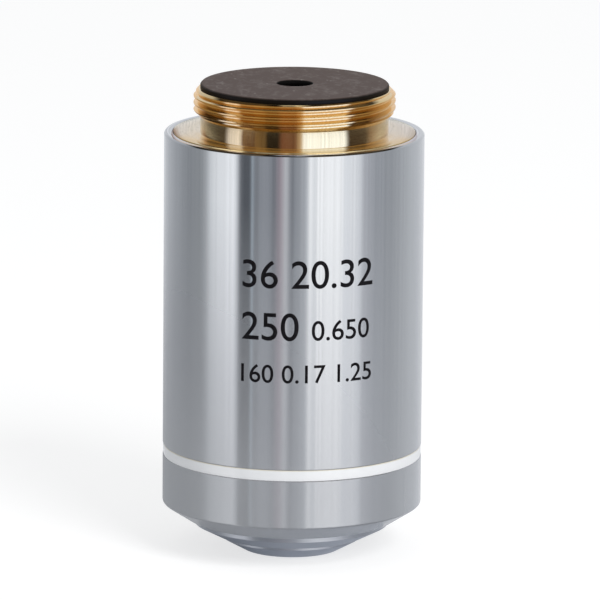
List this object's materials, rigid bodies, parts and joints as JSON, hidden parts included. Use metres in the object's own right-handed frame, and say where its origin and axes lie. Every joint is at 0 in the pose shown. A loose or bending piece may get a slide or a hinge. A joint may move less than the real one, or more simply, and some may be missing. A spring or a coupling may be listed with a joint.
{
  "type": "microscope objective",
  "caption": "Microscope objective: threaded brass mount, plated barrel with a white ring, and a spring-loaded nose that slides up into the barrel.",
  "frame": {"origin": "on the optical axis, in the plane of the mounting shoulder", "axes": "+Z along the optical axis towards the mounting thread"},
  "size_m": [0.0262, 0.0262, 0.0478],
  "materials": {
    "turned_brass": "satin",
    "black_anodised": "matte",
    "plated_sleeve": "satin",
    "plated_nose": "satin",
    "white_enamel": "gloss",
    "turned_steel": "satin",
    "spring_wire": "satin",
    "blackened_brass": "matte",
    "coated_glass": "polished"
  },
  "bodies": {
    "barrel": {"mount_ring": "turned_brass", "rear_stop": "black_anodised", "outer_sleeve": "plated_sleeve", "colour_ring": "white_enamel", "nose_sleeve": "plated_sleeve", "guide_tube": "turned_steel", "parfocal_ring": "turned_steel", "guide_screw": "turned_steel", "return_spring": "spring_wire", "spring_washer": "turned_steel"},
    "nose": {"lens_barrel": "blackened_brass", "nose_cone": "plated_nose", "front_cell": "plated_nose", "front_lens": "coated_glass", "second_lens": "coated_glass", "front_retainer": "blackened_brass", "lower_cell": "blackened_brass", "lower_flint": "coated_glass", "lower_crown": "coated_glass", "lower_spacer": "blackened_brass", "triplet_cell": "blackened_brass", "triplet_front": "coated_glass", "triplet_middle": "coated_glass", "triplet_rear": "coated_glass", "middle_spacer": "blackened_brass", "upper_cell": "blackened_brass", "upper_flint": "coated_glass", "upper_crown": "coated_glass", "upper_spacer": "blackened_brass", "rear_cell": "blackened_brass", "rear_crown": "coated_glass", "rear_flint": "coated_glass", "retaining_ring": "blackened_brass"}
  },
  "joints": [
    {"name": "nose_slide", "type": "slide", "parent": "barrel", "child": "nose", "axis": [0, 0, 1], "range_m": [0, 0.002], "stiffness_N_per_m": 370, "springref_m": -0.0081, "deforming": ["return_spring"]}
  ]
}
